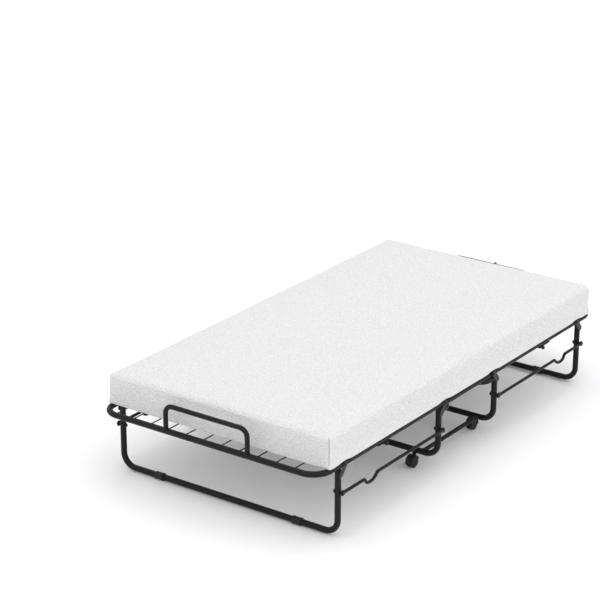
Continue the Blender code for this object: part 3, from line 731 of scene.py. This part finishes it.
def caster(name, x, y, trail):
    """A hooded twin-wheel caster. The hood is a T section swept over the wheels, on a swivel stem."""
    hub_x = x + trail
    near = WEB_HALF + WHEEL_CLEAR
    outer = near + WHEEL_W
    half = outer + 2 * WHEEL_CLEAR
    side = math.copysign(1, trail)
    hub = (hub_x, y, WHEEL_R)
    axis = (0, 1, 0)
    soft = 0.0009
    rim = [(HOOD_R - HOOD_T, half - soft / 2), (HOOD_R - soft, half), (HOOD_R, half - soft)]
    section = [(0.0004, -WEB_HALF), (HOOD_R - HOOD_T - soft, -WEB_HALF),
               (HOOD_R - HOOD_T, -WEB_HALF - soft), *[(r, -h) for r, h in rim], *rim[::-1],
               (HOOD_R - HOOD_T, WEB_HALF + soft), (HOOD_R - HOOD_T - soft, WEB_HALF),
               (0.0004, WEB_HALF)]
    shape = Shape()
    turn = Vector(axis).to_track_quat("Z", "Y").to_matrix()
    up = turn.inverted() @ Vector((0, 0, 1))
    front = turn.inverted() @ Vector((side, 0, 0))
    top = math.atan2(up.y, up.x)
    sense = 1 if math.sin(math.atan2(front.y, front.x) - top) > 0 else -1
    open_from = top - sense * (math.pi / 2 - HOOD_TILT)
    shape.turned(section, hub, axis, 36, arc=(open_from, open_from + sense * math.pi))
    web = WEB_HALF + WHEEL_CLEAR / 3
    bore = AXLE_R + 0.0004
    shape.turned([(bore, -web), (HUB_R - 0.0003, -web), (HUB_R, -web + 0.0003),
                  (HUB_R, web - 0.0003), (HUB_R - 0.0003, web), (bore, web)], hub, axis, closed=True)
    leg_face = CENTRE_LEG_BOTTOM_Z - TUBE_R - GAP
    shape.turned([(0.0002, leg_face), (STEM_R, leg_face), (STEM_R, BOSS_TOP_Z + 0.0022),
                  (BOSS_R + 0.0012, BOSS_TOP_Z + 0.0018), (BOSS_R + 0.0012, BOSS_TOP_Z + 0.0006),
                  (BOSS_R, BOSS_TOP_Z), (BOSS_R, STEM_ROOT_Z), (0.0002, STEM_ROOT_Z)], (x, y, 0),
                 (0, 0, 1), 32)
    shape.piece(name + "_hood_shell", [name + "_hood"], "plastic_black", "black_plastic")

    tread = 0.0011
    wheel = [(0.0002, outer + 0.0005), (0.0042, outer + 0.0004), (0.0050, outer - 0.0010),
             (0.0132, outer - 0.0016), (0.0148, outer - 0.0002), (WHEEL_R - tread * 1.6, outer),
             (WHEEL_R - tread * 0.5, outer - tread * 0.5), (WHEEL_R, outer - tread * 1.5),
             (WHEEL_R, near + tread), (WHEEL_R - tread, near), (0.0075, near), (AXLE_R, near)]
    Shape().turned([*wheel, *[(r, -h) for r, h in wheel[::-1]]], hub, axis, 48).piece(
        name + "_wheel_pair", [name + "_wheels"], "rubber_dark", "dark_rubber", 30)


def latch():
    """The wire hook: a closed eye on the foot handle, a cranked shank and an open hook."""
    centre = Vector((END_X, LATCH_Y, DECK_Z + HANDLE_RISE))
    reach = 2 * (PIVOT_X - HANDLE_RISE)

    def arc(along, radius, start, end, steps):
        angles = (math.radians(start + (end - start) * i / steps) for i in range(steps + 1))
        return [Vector((along + radius * math.cos(a), radius * math.sin(a), 0)) for a in angles]
    eye = arc(0, HANDLE_R + LATCH_PLAY + LATCH_WIRE_R, -390, -90, 30)
    hook = arc(reach, LATCH_HOOK_R, 120, -25, 18)
    shank = rounded([eye[-1], Vector((LATCH_KNEE, -LATCH_HOOK_R / 3, 0)), hook[0]], 0.02, 8)
    turn = LATCH_LEAN - math.pi / 2
    path = [centre + Vector((p.x * math.cos(turn) + p.y * math.sin(turn), 0,
                             p.x * math.sin(turn) - p.y * math.cos(turn)))
            for p in eye + shank[1:-1] + hook]
    Shape().tube(path, LATCH_WIRE_R, 16, cut=0.4).piece(
        "latch_hook_wire", ["latch_hook"], "steel_dark", "zinc_steel")


# ---------------------------------------------------------------- mattress

def spaced(low, high):
    """Grid places between two ends, close together over the rounded edges."""
    fine = np.linspace(0, PAD_ROUND, PAD_FINE + 1)[:-1]
    count = max(2, math.ceil((high - low - 2 * PAD_ROUND) / PAD_COARSE))
    middle = np.linspace(low + PAD_ROUND, high - PAD_ROUND, count + 1)
    return np.concatenate([low + fine, middle, high - fine[::-1]])


def lattice_shell(xs, ys, zs):
    """The outside of a box lattice: its points and quads."""
    index, points, faces = {}, [], []

    def at(i, j, k):
        if (i, j, k) not in index:
            index[i, j, k] = len(points)
            points.append((xs[i], ys[j], zs[k]))
        return index[i, j, k]
    nx, ny, nz = len(xs) - 1, len(ys) - 1, len(zs) - 1
    for k in (0, nz):
        for i in range(nx):
            for j in range(ny):
                faces.append((at(i, j, k), at(i + 1, j, k), at(i + 1, j + 1, k), at(i, j + 1, k)))
    for j in (0, ny):
        for i in range(nx):
            for k in range(nz):
                faces.append((at(i, j, k), at(i + 1, j, k), at(i + 1, j, k + 1), at(i, j, k + 1)))
    for i in (0, nx):
        for j in range(ny):
            for k in range(nz):
                faces.append((at(i, j, k), at(i, j + 1, k), at(i, j + 1, k + 1), at(i, j, k + 1)))
    return np.array(points), faces


def read_points(mesh):
    found = np.empty(len(mesh.vertices) * 3)
    mesh.vertices.foreach_get("co", found)
    return found.reshape(-1, 3)


def write_points(mesh, points):
    mesh.vertices.foreach_set("co", points.astype(np.float32).ravel())
    mesh.update()


def inflated(obj):
    """The pad's points after its cover is blown up a little by Blender's Cloth."""
    cloth = obj.modifiers.new("cover", "CLOTH")
    made = cloth.settings
    made.quality = 4
    made.mass = 0.3
    made.tension_stiffness = made.compression_stiffness = 12
    made.shear_stiffness = 6
    made.bending_stiffness = 1.5
    made.use_pressure = True
    made.uniform_pressure_force = 4
    made.effector_weights.gravity = 0
    cloth.point_cache.frame_start, cloth.point_cache.frame_end = 1, COVER_FRAMES
    scene = bpy.context.scene
    for step in range(1, COVER_FRAMES + 1):
        scene.frame_set(step)
    graph = bpy.context.evaluated_depsgraph_get()
    grown = read_points(obj.evaluated_get(graph).to_mesh())
    obj.evaluated_get(graph).to_mesh_clear()
    obj.modifiers.remove(cloth)
    scene.frame_set(1)
    return grown


def swelled(start, grown, low, high):
    """Start moved towards the blown-up shape, held back softly so that the foam keeps its form."""
    move = grown - start
    far = np.linalg.norm(move, axis=1, keepdims=True) + 1e-9
    middle = (low + high) / 2
    upward = np.clip((start[:, 2:3] - middle[2]) / (high[2] - middle[2]), -1, 1)
    most = np.where(upward > 0, PAD_SWELL_SIDE + (PAD_SWELL_TOP - PAD_SWELL_SIDE) * upward ** 4,
                    PAD_SWELL_SIDE * (1 - upward ** 4))
    return start + move / far * most * np.tanh(far / np.maximum(most, 1e-6))


def waves(points, scale, height):
    return np.array([noise.noise(Vector(p) * scale) for p in points]) * height


def eased(values):
    share = np.clip(values, 0, 1)
    return share * share * (3 - 2 * share)


def draped(shape):
    """How far the foot of each long side hangs down past the top of its rail."""
    past = np.maximum(np.abs(shape[:, 1]) - SIDE_Y, 0)
    wrap = TUBE_R + LIP_CLEAR
    over_rail = DECK_Z + np.sqrt(np.maximum(wrap ** 2 - past ** 2, 0))
    hang = np.maximum(MATTRESS_Z[0] - np.maximum(over_rail, LIP_Z), 0)
    beside_pin = np.minimum(*(np.abs(np.abs(shape[:, 0]) - x) for x in (PIVOT_X, LEG_PIN_X)))
    to_end = np.minimum(shape[:, 0] - MATTRESS_ENDS[0], MATTRESS_ENDS[1] - shape[:, 0])
    return (hang * eased(1 - (shape[:, 2] - MATTRESS_Z[0]) / LIP_RISE)
            * eased((beside_pin - LIP_OPEN) / 0.02) * eased(to_end / 0.03))


def rounded_box(low, high):
    """The pad before it swells: its points, their outward directions and its faces."""
    lattice, faces = lattice_shell(*(spaced(a, b) for a, b in zip(low, high)))
    level = (lattice[:, 2:3] - low[2]) / (high[2] - low[2])
    edge = np.interp(level, *zip(*PAD_EDGES))
    core = np.clip(lattice, low + edge, high - edge)
    out = lattice - core
    out /= np.linalg.norm(out, axis=1, keepdims=True)
    return core + edge * out, out, faces


def corner_seams(start, out, low, high):
    """The cover is sewn down each upright corner, and puckers along that seam."""
    inner_x = np.minimum(start[:, 0] - low[0], high[0] - start[:, 0])
    inner_y = np.minimum(start[:, 1] - low[1], high[1] - start[:, 1])
    across = (inner_x - inner_y) / math.sqrt(2)
    near = np.clip(1 - (inner_x + inner_y) / SEAM_REACH, 0, 1)
    rise = (start[:, 2] - low[2]) / (high[2] - low[2])
    upright = np.clip(np.minimum(rise - 0.06, 0.97 - rise) / 0.1, 0, 1)
    seam = np.exp(-(across / SEAM_HALF_WIDTH) ** 2) * upright * (near > 0.6)
    stitch = np.sin(start[:, 2] * 2 * math.pi / PUCKER_PITCH)
    pucker = stitch * np.exp(-np.abs(across) / PUCKER_WIDTH)
    corner = out.copy()
    corner[:, 2] = 0
    return corner * (PUCKER_DEPTH * pucker * upright * near - SEAM_DEPTH * seam)[:, None], seam


def make_pad():
    """The whole mattress as one closed mesh, with its corner seams sunk in."""
    low = np.array([MATTRESS_ENDS[0] + PAD_INSET, -MATTRESS_HALF_Y + PAD_INSET, MATTRESS_Z[0]])
    high = np.array([MATTRESS_ENDS[1] - PAD_INSET, MATTRESS_HALF_Y - PAD_INSET,
                     MATTRESS_Z[1] - PAD_INSET])
    start, out, faces = rounded_box(low, high)
    mesh = closed_mesh("mattress_cover", [tuple(p) for p in start], faces)
    obj = bpy.data.objects.new("mattress_cover", mesh)
    bpy.context.scene.collection.objects.link(obj)
    grown = inflated(obj)
    shape = swelled(start, grown, low, high)
    away = out * (1 - 0.9 * (out[:, 2:3] < -0.5))      # hardly any waves underneath
    for scale, height in PAD_WAVES:
        shape += away * waves(shape, scale, height)[:, None]
    seam_dust_and_shade, seam = corner_seams(start, out, low, high)
    shape += seam_dust_and_shade
    shape[:, 2] = np.maximum(shape[:, 2], MATTRESS_Z[0])
    shape[:, 2] -= draped(shape)
    write_points(mesh, shape)
    # The seam mask also goes to the cover's colour, where it paints shade and dust along the seam groove.
    mesh.attributes.new("seam", "FLOAT", "POINT").data.foreach_set("value", seam.astype(np.float32))

    smooth = obj.modifiers.new("smooth", "SUBSURF")
    smooth.levels = smooth.render_levels = 1
    graph = bpy.context.evaluated_depsgraph_get()
    fine = bpy.data.meshes.new_from_object(obj.evaluated_get(graph))
    bpy.data.objects.remove(obj, do_unlink=True)
    rest = read_points(fine)
    fine.attributes.new("rest_place", "FLOAT_VECTOR", "POINT").data.foreach_set(
        "vector", rest.astype(np.float32).ravel())
    return fine


def mattress():
    """The pad in two lengths that meet inside the centre deck."""
    whole = make_pad()
    for end_name, end in ENDS:
        made = bmesh.new()
        made.from_mesh(whole)
        everything = [*made.verts, *made.edges, *made.faces]
        cut = bmesh.ops.bisect_plane(made, geom=everything, plane_co=(0, 0, 0), plane_no=(-end, 0, 0),
                                     clear_outer=True)["geom_cut"]
        rim = [e for e in cut if isinstance(e, bmesh.types.BMEdge)]
        bmesh.ops.holes_fill(made, edges=rim)
        bmesh.ops.recalc_face_normals(made, faces=made.faces)
        for face in made.faces:
            face.smooth = True
        for edge in rim:
            edge.smooth = False
        mesh = bpy.data.meshes.new(f"mattress_{end_name}_half")
        made.to_mesh(mesh)
        made.free()
        obj = bpy.data.objects.new(f"mattress_{end_name}_half", mesh)
        bpy.context.scene.collection.objects.link(obj)
        mesh.materials.clear()
        mesh.materials.append(materials["knit_white"])
        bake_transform(obj)
        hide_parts(f"mattress_{end_name}", "mattress_centre")


# ---------------------------------------------------------------- stage

def stage():
    """A pale floor, an even white surround and large soft lights."""
    tree, shader = new_material("studio_floor")
    place = node(tree, "ShaderNodeTexCoord").outputs["Object"]
    base = colour_mix(tree, noise_map(tree, place, 2.0, 2.0), (0.93, 0.93, 0.93), (0.95, 0.95, 0.95))
    set_shader(tree, shader, Base_Color=base, Roughness=0.9, Specular_IOR_Level=0.1,
               Emission_Color=(1, 1, 1, 1), Emission_Strength=FLOOR_GLOW)
    mesh = bpy.data.meshes.new("floor")
    corners = [(x * FLOOR_HALF, y * FLOOR_HALF, 0) for x, y in ((-1, -1), (1, -1), (1, 1), (-1, 1))]
    mesh.from_pydata(corners, [], [(0, 1, 2, 3)])
    mesh.materials.append(materials["studio_floor"])
    floor = bpy.data.objects.new("floor", mesh)
    bpy.context.scene.collection.objects.link(floor)

    world = bpy.data.worlds.new("surround")
    world.use_nodes = True
    sky = world.node_tree
    height = node(sky, "ShaderNodeSeparateXYZ", Vector=node(sky, "ShaderNodeTexCoord").outputs["Generated"])
    sky.links.new(ranged(sky, height.outputs["Z"], *SKY_RANGE), sky.nodes["Background"].inputs["Strength"])
    sky.nodes["Background"].inputs["Color"].default_value = (1, 1, 1, 1)
    bpy.context.scene.world = world
    for name, place, power, size in LAMPS:
        lamp = bpy.data.lights.new(name, "AREA")
        lamp.shape = "DISK"
        lamp.size = size
        lamp.energy = power
        obj = bpy.data.objects.new(name, lamp)
        obj.location = place
        obj.rotation_euler = (LAMP_AIM - Vector(place)).to_track_quat("-Z", "Y").to_euler()
        bpy.context.scene.collection.objects.link(obj)


def camera():
    lens = bpy.data.cameras.new("camera")
    lens.sensor_width = 36
    lens.lens = CAMERA_LENS
    lens.clip_end = 200
    obj = bpy.data.objects.new("camera", lens)
    obj.location = CAMERA_PLACE
    obj.rotation_euler = (CAMERA_AIM - CAMERA_PLACE).to_track_quat("-Z", "Y").to_euler()
    bpy.context.scene.collection.objects.link(obj)
    bpy.context.scene.camera = obj
    bpy.context.scene.view_settings.view_transform = "Standard"


powder_coat("powder_black", (0.0055, 0.0055, 0.0058), (0.0105, 0.0105, 0.0110), 0.46)
powder_coat("wire_black", (0.005, 0.005, 0.0053), (0.010, 0.010, 0.0105), 0.42, 1100.0, 0.00004)
dark_steel("steel_dark")
moulded("plastic_black", (0.005, 0.005, 0.005), (0.010, 0.010, 0.010), 0.52, 1500.0, 0.00005)
moulded("rubber_dark", (0.010, 0.010, 0.010), (0.019, 0.019, 0.019), 0.68, 700.0, 0.00009, 0.15)
knit_cover("knit_white")

for end_name, end in ENDS:
    bent_leg(f"centre_leg_{end_name}", end * CENTRE_LEG_X, CENTRE_LEG_BOTTOM_Z)
    bent_leg(f"end_leg_{end_name}", end * END_LEG_X, END_LEG_BOTTOM_Z)
    outer_frame(f"outer_deck_frame_{end_name}", end)
    inner_frame(f"inner_deck_frame_{end_name}", end)
    wire_grid(f"outer_wires_{end_name}",
              [(end * (PIVOT_X + OUTER_BAR), CROSSBAR_R, 0), (end * END_X, TUBE_R, DECK_CORNER)],
              DECK_Z, -end, [end * (PIVOT_X + d) for d in OUTER_CROSS_WIRES])
    wire_grid(f"inner_wires_{end_name}",
              [(end * (PIVOT_X + d), CROSSBAR_R, 0) for d in INNER_BARS],
              DECK_Z, -end, [end * (PIVOT_X + d) for d in INNER_CROSS_WIRES])
    handle(f"handle_{end_name}", end)
    for side_name, side in SIDES:
        tag = f"{end_name}_{side_name}"
        pivot_plate(f"centre_leg_plate_{tag}", end * CENTRE_LEG_X, end * PIVOT_X, side)
        pivot_plate(f"end_leg_plate_{tag}", end * END_LEG_X, end * LEG_PIN_X, side)
        rod_bolt(f"centre_leg_bolt_{tag}", end * CENTRE_LEG_X, side)
        rod_bolt(f"end_leg_bolt_{tag}", end * END_LEG_X, side)
        side_rod(f"side_rod_{tag}", end, side)
        joint_bracket(f"joint_bracket_{tag}", end, side)
        sleeve(f"foot_sleeve_{tag}", end * END_LEG_X, side * SLEEVE_Y)
        caster(f"caster_{tag}", end * CENTRE_LEG_X, side * CASTER_Y, end * CASTER_TRAIL)
for side_name, side in SIDES:
    spacer_bar(f"spacer_bar_{side_name}", side)
centre_frame()
wire_grid("centre_wires", [(end * CENTRE_BAR_X, TUBE_R, 0) for _, end in ENDS], CENTRE_BAR_Z, 1, [0])
latch()
mattress()
stage()
camera()
